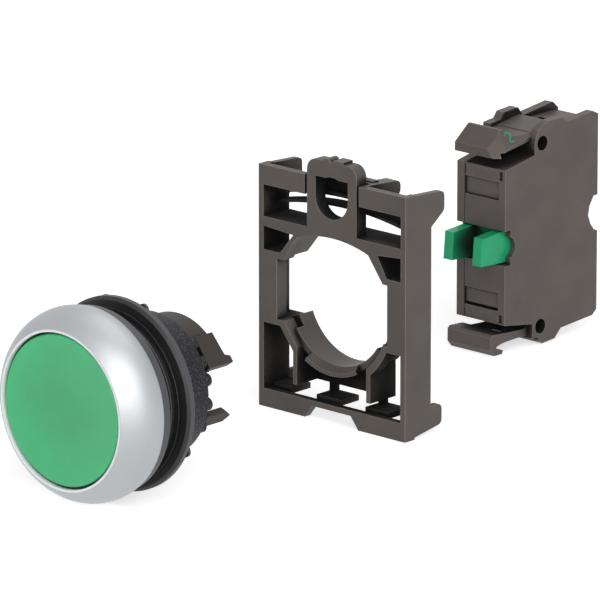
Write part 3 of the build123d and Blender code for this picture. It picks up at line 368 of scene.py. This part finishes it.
def axis_distance(tree, node):
    """Distance of a round piece's surface from its own axis along +Y."""
    low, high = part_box(node)
    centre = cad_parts[node].matrix_world.inverted() @ ((low + high) / 2)
    place = tree.nodes.new("ShaderNodeTexCoord").outputs["Object"]
    offset = add(tree, "ShaderNodeVectorMath", "SUBTRACT", _1=centre)
    link(tree, place, offset.inputs[0])
    across = add(tree, "ShaderNodeVectorMath", "MULTIPLY", _1=(1.0, 0.0, 1.0))
    link(tree, offset.outputs[0], across.inputs[0])
    length = add(tree, "ShaderNodeVectorMath", "LENGTH")
    link(tree, across.outputs[0], length.inputs[0])
    return length.outputs["Value"]


def scale_colour(tree, shader, factor):
    """Multiplies what feeds the shader's colour by a factor that changes over the surface."""
    scaled = add(tree, "ShaderNodeVectorMath", "SCALE")
    link(tree, shader.inputs["Base Color"].links[0].from_socket, scaled.inputs[0])
    link(tree, factor, scaled.inputs["Scale"])
    link(tree, scaled.outputs[0], shader.inputs["Base Color"])


def depth_along(tree, node, axis):
    """Depth of a piece's surface along an axis, from the piece's low side."""
    side = getattr(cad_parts[node].matrix_world.inverted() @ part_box(node)[0], axis.lower())
    place = tree.nodes.new("ShaderNodeSeparateXYZ")
    link(tree, tree.nodes.new("ShaderNodeTexCoord").outputs["Object"], place.inputs[0])
    depth = add(tree, "ShaderNodeMath", "SUBTRACT", _1=side)
    link(tree, place.outputs[axis], depth.inputs[0])
    return depth.outputs[0]


def shade_band(node, axis, middle, half_width, factor):
    """Changes a piece's colour in a band across an axis, at a depth from the piece's low side."""
    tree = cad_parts[node].data.materials[0].node_tree
    offset = add(tree, "ShaderNodeMath", "SUBTRACT", _1=middle)
    link(tree, depth_along(tree, node, axis), offset.inputs[0])
    distance = add(tree, "ShaderNodeMath", "ABSOLUTE")
    link(tree, offset.outputs[0], distance.inputs[0])
    band = map_range(tree, distance.outputs[0], half_width, half_width + 0.05 * MM, factor, 1.0)
    scale_colour(tree, tree.nodes["Principled BSDF"], band)


def satin_silver():
    """Blasted and anodised ring: fine grain over a soft metal sheen, with a painted highlight on
    its inner lip, which is drawn non-metallic and twice as light.
    """
    material, tree, shader = new_material("satin_silver")
    place = tree.nodes.new("ShaderNodeTexCoord").outputs["Object"]
    grain = noise(tree, place, RING_GRAIN, 2.0, 0.7)
    clouds = noise(tree, place, RING_CLOUDS, 2.0, 0.5)
    tint = add(tree, "ShaderNodeVectorMath", "SCALE", _0=finishes().silver)
    link(tree, map_range(tree, grain, *NOISE_MIDDLE, 0.93, 1.05), tint.inputs["Scale"])
    link(tree, tint.outputs[0], shader.inputs["Base Color"])
    link(tree, map_range(tree, clouds, *NOISE_MIDDLE, 0.42, 0.50), shader.inputs["Roughness"])
    # Painted highlight on the inner lip: no metal there, and the colour is doubled.
    past_lip = add(tree, "ShaderNodeMath", "MAXIMUM")
    radius, depth = finishes().highlight_lip_radius, finishes().highlight_lip_depth
    reach, behind = axis_distance(tree, "front_ring"), depth_along(tree, "front_ring", "Y")
    link(tree, map_range(tree, reach, radius - 0.12 * MM, radius, 0.0, 1.0), past_lip.inputs[0])
    link(tree, map_range(tree, behind, depth - 0.1 * MM, depth, 0.0, 1.0), past_lip.inputs[1])
    link(tree, past_lip.outputs[0], shader.inputs["Metallic"])
    scale_colour(tree, shader, map_range(tree, past_lip.outputs[0], 0.0, 1.0, 2.0, 1.0))
    add_bump(tree, shader, grain, 0.004 * MM)
    return material


def bare_metal(name, colour, roughness):
    """Plated or drawn metal with fine scratches and patches."""
    material, tree, shader = new_material(name)
    place = tree.nodes.new("ShaderNodeTexCoord").outputs["Object"]
    stretch = tree.nodes.new("ShaderNodeMapping")
    stretch.inputs["Scale"].default_value = (1.0, 0.12, 1.0)
    link(tree, place, stretch.inputs["Vector"])
    scratches = noise(tree, stretch.outputs[0], METAL_SCRATCHES, 3.0, 0.7)
    patches = noise(tree, place, METAL_PATCHES, 2.0, 0.5)
    tint = add(tree, "ShaderNodeVectorMath", "SCALE", _0=colour)
    link(tree, map_range(tree, patches, *NOISE_MIDDLE, 0.86, 1.06), tint.inputs["Scale"])
    link(tree, tint.outputs[0], shader.inputs["Base Color"])
    wear = map_range(tree, scratches, *NOISE_MIDDLE, roughness - 0.08, roughness + 0.08)
    link(tree, wear, shader.inputs["Roughness"])
    shader.inputs["Metallic"].default_value = 1.0
    add_bump(tree, shader, scratches, 0.003 * MM)
    return material


def clear_green(name, colour):
    """Tinted, slightly translucent cap with a satin face and painted light that makes its colour
    paler towards the rim.
    """
    material = moulded_plastic(name, colour, 0.34, clouds=0.05, lift=0.15, coat=0.15, depth=0.4)
    shader = material.node_tree.nodes["Principled BSDF"]
    shader.inputs["Subsurface Weight"].default_value = 0.35
    shader.inputs["Subsurface Radius"].default_value = (0.4, 1.0, 0.6)
    shader.inputs["Subsurface Scale"].default_value = 1.2 * MM
    tree = material.node_tree
    # Painted light: the cap's colour is 0.93 times near its middle and 1.10 times towards its rim.
    painted_rim_light = map_range(tree, axis_distance(tree, "button_cap"), 3.0 * MM, 11.0 * MM, 0.93, 1.10)
    scale_colour(tree, shader, painted_rim_light)
    return material


def flecked_neck(colour):
    """Coarse glass-filled plastic with pale flecks."""
    material = moulded_plastic("neck_slate", colour, 0.45, clouds=0.15, specular=0.22, depth=5.0)
    tree = material.node_tree
    place = tree.nodes.new("ShaderNodeTexCoord").outputs["Object"]
    flecks = map_range(tree, noise(tree, place, NECK_FLECKS, 1.0, 0.4), *FLECK_SPAN, 1.0, 8.0)
    scale_colour(tree, tree.nodes["Principled BSDF"], flecks)
    return material


def dress(node, material):
    """Gives a CAD node its finish."""
    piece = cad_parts[node]
    piece.data.materials.clear()
    piece.data.materials.append(material)


# Springs


def coil_mesh(name, start, end, radius, wire, turns, sides=10, steps_per_turn=36):
    """Compression spring along +Y between two points, with a dead turn at each end."""
    dead = DEAD_TURNS
    dead_pitch = wire * DEAD_PITCH
    count = int(turns * steps_per_turn)
    length = end.y - start.y - wire
    live = turns - 2 * dead
    mesh = bmesh.new()
    rings = []
    for step in range(count + 1):
        turn = turns * step / count
        share = min(max((turn - dead) / live, 0.0), 1.0)
        low = dead_pitch * min(turn, dead)
        high = dead_pitch * max(turn - (turns - dead), 0.0)
        along = low + high + (length - 2 * dead * dead_pitch) * share
        angle = 2 * math.pi * turn
        outward = Vector((math.cos(angle), 0.0, math.sin(angle)))
        centre = Vector((start.x, start.y + wire / 2 + along, start.z)) + outward * radius
        ring = []
        for side in range(sides):
            around = 2 * math.pi * side / sides
            offset = outward * math.cos(around) + Vector((0.0, 1.0, 0.0)) * math.sin(around)
            ring.append(mesh.verts.new(centre + offset * (wire / 2)))
        rings.append(ring)
    for first, second in zip(rings, rings[1:]):
        for side in range(sides):
            other = (side + 1) % sides
            mesh.faces.new((first[side], first[other], second[other], second[side]))
    mesh.faces.new(rings[0])
    mesh.faces.new(list(reversed(rings[-1])))
    bmesh.ops.recalc_face_normals(mesh, faces=mesh.faces)
    data = bpy.data.meshes.new(name)
    mesh.to_mesh(data)
    mesh.free()
    data.shade_smooth()
    piece = bpy.data.objects.new(name, data)
    bpy.context.scene.collection.objects.link(piece)
    return piece


def make_spring(name, node, body, wire, turns, material):
    """Round-wire spring in place of a CAD spring."""
    low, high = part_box(node)
    axis_x, axis_z = (low.x + high.x) / 2, (low.z + high.z) / 2
    outer = (high.z - low.z) / 2
    start = Vector((axis_x, low.y, axis_z))
    end = Vector((axis_x, high.y, axis_z))
    piece = coil_mesh(name, start, end, outer - wire / 2, wire, turns)
    piece.data.materials.append(material)
    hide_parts(node)
    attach(piece, body)
    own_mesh(piece)
    return piece


# Operators


class SWITCH_OT_bezel(bpy.types.Operator):
    """Front ring, seal, base, collar and panel gasket"""

    bl_idname = "switch.bezel"
    bl_label = "Dress the bezel"

    def execute(self, context):
        look = finishes()
        dress("front_ring", satin_silver())
        rubber = moulded_plastic(
            "black_rubber", look.rubber, 0.62, clouds=0.12, lift=0.3, specular=0.35
        )
        dress("lip_seal", rubber)
        dress("panel_gasket", moulded_plastic("slate_gasket", look.slate, 0.5, lift=0.3))
        shade_band("panel_gasket", "Y", 0.0, look.gasket_face, 0.10)
        gloss = moulded_plastic("gloss_black", look.black, 0.16, lift=0.4, coat=0.5, depth=0.3)
        dress("bezel_base", gloss)
        dress("collar_ring", moulded_plastic("slate_collar", look.slate, 0.42))
        return {"FINISHED"}


class SWITCH_OT_button(bpy.types.Operator):
    """Green cap and the carrier behind it"""

    bl_idname = "switch.button"
    bl_label = "Dress the button"

    def execute(self, context):
        look = finishes()
        dress("button_cap", clear_green("cap_green", look.cap_green))
        dress("button_carrier", moulded_plastic("carrier_grey", look.slate, 0.5))
        return {"FINISHED"}


class SWITCH_OT_operator_body(bpy.types.Operator):
    """Neck and the coupling cage at its rear"""

    bl_idname = "switch.operator_body"
    bl_label = "Dress the operator body"

    def execute(self, context):
        look = finishes()
        dress("operator_body", flecked_neck(look.neck))
        brown = moulded_plastic("cage_brown", look.cage, 0.48, lift=1.5, specular=0.25)
        dress("coupling_cage", brown)
        return {"FINISHED"}


class SWITCH_OT_springs(bpy.types.Operator):
    """Return spring of the button and the two springs in the contact block"""

    bl_idname = "switch.springs"
    bl_label = "Wind the springs"

    def execute(self, context):
        springs = context.scene.switch_springs
        steel = bare_metal("spring_steel", finishes().spring_steel, 0.30)
        make_spring(
            "return_coil", "return_spring", "base",
            springs.return_wire, springs.return_turns, steel,
        )
        make_spring(
            "plunger_coil", "plunger_spring", "base",
            springs.block_wire, springs.plunger_turns, steel,
        )
        make_spring(
            "bridge_coil", "bridge_spring", "plunger",
            springs.block_wire, springs.bridge_turns, steel,
        )
        return {"FINISHED"}


class SWITCH_OT_adapter(bpy.types.Operator):
    """Fixing adapter"""

    bl_idname = "switch.adapter"
    bl_label = "Dress the adapter"

    def execute(self, context):
        # lift sets the painted highlight along the adapter's edges.
        plastic = moulded_plastic(
            "adapter_grey", finishes().adapter, 0.44, clouds=0.10, lift=2.2, specular=0.22
        )
        dress("adapter_frame", plastic)
        return {"FINISHED"}


class SWITCH_OT_contact_block(bpy.types.Operator):
    """Housing and cover of the contact block"""

    bl_idname = "switch.contact_block"
    bl_label = "Dress the contact block"

    def execute(self, context):
        look = finishes()
        for node, name in (("block_housing", "housing_grey"), ("block_cover", "cover_grey")):
            # lift sets the painted highlight along the block's edges.
            grey = moulded_plastic(name, look.block, 0.44, clouds=0.12, lift=1.8, specular=0.25)
            dress(node, grey)
        shade_band("block_cover", "X", look.cover_wall, 0.15 * MM, 0.06)
        return {"FINISHED"}


def ribbon_mesh(name, path, width, origin, right, up):
    """Flat printed stroke along a path, on the plane of two directions."""
    points = [Vector(point) for point in path]
    mesh = bmesh.new()
    rails = []
    for index, point in enumerate(points):
        before, after = points[max(index - 1, 0)], points[min(index + 1, len(points) - 1)]
        along = (after - before).normalized()
        aside = Vector((-along.y, along.x)) * (width / 2)
        sides = (point + aside, point - aside)
        rails.append([mesh.verts.new(origin + right * spot.x + up * spot.y) for spot in sides])
    for first, second in zip(rails, rails[1:]):
        mesh.faces.new((first[0], first[1], second[1], second[0]))
    bmesh.ops.recalc_face_normals(mesh, faces=mesh.faces)
    bmesh.ops.solidify(mesh, geom=mesh.faces[:], thickness=0.03 * MM)
    data = bpy.data.meshes.new(name)
    mesh.to_mesh(data)
    mesh.free()
    piece = bpy.data.objects.new(name, data)
    bpy.context.scene.collection.objects.link(piece)
    return piece


class SWITCH_OT_digit(bpy.types.Operator):
    """Printed place number on the facet of the block's upper latch"""

    bl_idname = "switch.digit"
    bl_label = "Print the digit"

    def execute(self, context):
        look = finishes()
        outward = Vector((1.0, -0.2, 1.0)).normalized()
        right = (Vector((0.0, 1.0, 0.0)) - outward * outward.y).normalized()
        up = outward.cross(right)
        plunger_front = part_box("contact_plunger")[0].y
        block_low, block_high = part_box("block_housing")
        corner = Vector((block_low.x, plunger_front, block_high.z))
        centre = corner + Vector(look.digit_place) + outward * 0.02 * MM
        arc = [(-0.55 * math.cos(turn), 0.45 + 0.50 * math.sin(turn)) for turn in DIGIT_TURNS]
        path = [Vector(point) * look.digit_size for point in arc + list(DIGIT_FOOT)]
        piece = ribbon_mesh("place_digit", path, look.digit_stroke, centre, right, up)
        piece.data.materials.append(
            moulded_plastic("print_green", look.plunger_green, 0.5, clouds=0.2, lift=0.0)
        )
        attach(piece, "base")
        return {"FINISHED"}


class SWITCH_OT_contacts(bpy.types.Operator):
    """Plunger, bridge, fixed contacts and terminals"""

    bl_idname = "switch.contacts"
    bl_label = "Dress the plunger and contacts"

    def execute(self, context):
        look = finishes()
        green = moulded_plastic("plunger_green", look.plunger_green, 0.36, specular=0.3, coat=0.06)
        dress("contact_plunger", green)
        brass = bare_metal("stamped_brass", look.brass, 0.32)
        tips = bare_metal("contact_silver", look.contact_silver, 0.28)
        zinc = bare_metal("zinc_plate", look.zinc, 0.34)
        for node in ("contact_bridge", "fixed_contact_upper", "fixed_contact_lower"):
            dress(node, brass)
        for node in ("bridge_tips", "fixed_tips"):
            dress(node, tips)
        for level in ("upper", "lower"):
            dress(f"clamp_plate_{level}", zinc)
            dress(f"terminal_screw_{level}", zinc)
        return {"FINISHED"}


class SWITCH_OT_stage(bpy.types.Operator):
    """Floor, room light, lamps and camera"""

    bl_idname = "switch.stage"
    bl_label = "Set the stage"

    def execute(self, context):
        scene = context.scene
        scene.view_settings.view_transform = "Standard"
        make_room(scene.switch_stage)
        make_floor(scene.switch_stage)
        make_lamps(scene.switch_stage)
        make_camera(scene.switch_stage)
        return {"FINISHED"}


def white_for_eyes(tree):
    """1 for camera, glossy and transmission rays, so that they see the white backdrop."""
    path = tree.nodes.new("ShaderNodeLightPath")
    first = add(tree, "ShaderNodeMath", "MAXIMUM")
    link(tree, path.outputs["Is Camera Ray"], first.inputs[0])
    link(tree, path.outputs["Is Glossy Ray"], first.inputs[1])
    second = add(tree, "ShaderNodeMath", "MAXIMUM")
    link(tree, first.outputs[0], second.inputs[0])
    link(tree, path.outputs["Is Transmission Ray"], second.inputs[1])
    return second.outputs[0]


def make_room(stage):
    """Even room light; the camera and reflections see it as white."""
    world = bpy.data.worlds.new("studio")
    world.use_nodes = True
    tree = world.node_tree
    background = tree.nodes["Background"]
    background.inputs["Color"].default_value = (1.0, 1.0, 1.0, 1.0)
    strength = map_range(tree, white_for_eyes(tree), 0.0, 1.0, stage.world_level, 1.0)
    link(tree, strength, background.inputs["Strength"])
    bpy.context.scene.world = world


def make_floor(stage):
    """Pale floor that the camera sees as white apart from the object's shadow."""
    size = FLOOR_REACH
    data = bpy.data.meshes.new("studio_floor")
    corners = [(-size, -size, 0), (size, -size, 0), (size, size, 0), (-size, size, 0)]
    data.from_pydata(corners, [], [(0, 1, 2, 3)])
    floor = bpy.data.objects.new("studio_floor", data)
    bpy.context.scene.collection.objects.link(floor)
    material, tree, shader = new_material("pale_floor")
    shader.inputs["Base Color"].default_value = (0.82, 0.82, 0.82, 1.0)
    shader.inputs["Roughness"].default_value = 0.9
    shader.inputs["Specular IOR Level"].default_value = 0.1
    shader.inputs["Emission Color"].default_value = (1.0, 1.0, 1.0, 1.0)
    glow = map_range(tree, white_for_eyes(tree), 0.0, 1.0, 0.0, stage.floor_glow)
    link(tree, glow, shader.inputs["Emission Strength"])
    data.materials.append(material)


def make_lamps(stage):
    """Soft lamps: high at the right, low beside the camera, above for gloss only, and behind."""
    aim = Vector((0.0, 0.0, 0.02))
    for name, place, size, power, on_matt, on_gloss in (
        ("key_softbox", (0.95, -0.60, 0.66), 1.6, stage.key_power, True, True),
        ("side_softbox", (0.35, -1.10, 0.16), 0.8, stage.fill_power, True, True),
        ("sheen_softbox", (-0.05, 0.40, 0.95), 0.8, stage.sheen_power, False, True),
        ("rear_softbox", (-0.80, 1.05, 0.22), 1.2, stage.rear_power, True, False),
    ):
        lamp = bpy.data.lights.new(name, "AREA")
        lamp.size = size
        lamp.energy = power
        piece = bpy.data.objects.new(name, lamp)
        piece.visible_diffuse = on_matt
        piece.visible_glossy = on_gloss
        piece.location = place
        piece.rotation_euler = (aim - Vector(place)).to_track_quat("-Z", "Y").to_euler()
        bpy.context.scene.collection.objects.link(piece)


def make_camera(stage):
    """Camera at the photograph's viewing angle."""
    data = bpy.data.cameras.new("camera")
    data.lens = stage.lens
    data.sensor_width = 36.0
    data.clip_start, data.clip_end = 0.01, 20.0
    camera = bpy.data.objects.new("camera", data)
    flat = math.cos(stage.elevation)
    side, ahead = math.sin(stage.azimuth) * flat, -math.cos(stage.azimuth) * flat
    back = Vector((side, ahead, math.sin(stage.elevation)))
    camera.location = Vector(stage.target) + back * stage.distance
    camera.rotation_mode = "QUATERNION"
    camera.rotation_quaternion = (-back).to_track_quat("-Z", "Y")
    bpy.context.scene.collection.objects.link(camera)
    bpy.context.scene.camera = camera


class SWITCH_PT_panel(bpy.types.Panel):
    """Lists the steps that dress the switch"""

    bl_idname = "SWITCH_PT_panel"
    bl_label = "Pushbutton Switch"
    bl_space_type = "VIEW_3D"
    bl_region_type = "UI"
    bl_category = "Switch"

    def draw(self, context):
        for step in STEPS:
            self.layout.operator(step.bl_idname)


SETTINGS = (
    ("switch_finishes", SwitchFinishes),
    ("switch_springs", SwitchSprings),
    ("switch_stage", SwitchStage),
)
STEPS = (
    SWITCH_OT_bezel,
    SWITCH_OT_button,
    SWITCH_OT_operator_body,
    SWITCH_OT_springs,
    SWITCH_OT_adapter,
    SWITCH_OT_contact_block,
    SWITCH_OT_digit,
    SWITCH_OT_contacts,
    SWITCH_OT_stage,
)


def register():
    for name, settings in SETTINGS:
        bpy.utils.register_class(settings)
        setattr(bpy.types.Scene, name, PointerProperty(type=settings))
    for step in STEPS:
        bpy.utils.register_class(step)
    bpy.utils.register_class(SWITCH_PT_panel)


def unregister():
    bpy.utils.unregister_class(SWITCH_PT_panel)
    for step in reversed(STEPS):
        bpy.utils.unregister_class(step)
    for name, settings in reversed(SETTINGS):
        delattr(bpy.types.Scene, name)
        bpy.utils.unregister_class(settings)


def main():
    register()
    bpy.ops.switch.bezel()
    bpy.ops.switch.button()
    bpy.ops.switch.operator_body()
    bpy.ops.switch.springs()
    bpy.ops.switch.adapter()
    bpy.ops.switch.contact_block()
    bpy.ops.switch.digit()
    bpy.ops.switch.contacts()
    bpy.ops.switch.stage()


if __name__ == "__main__":
    main()
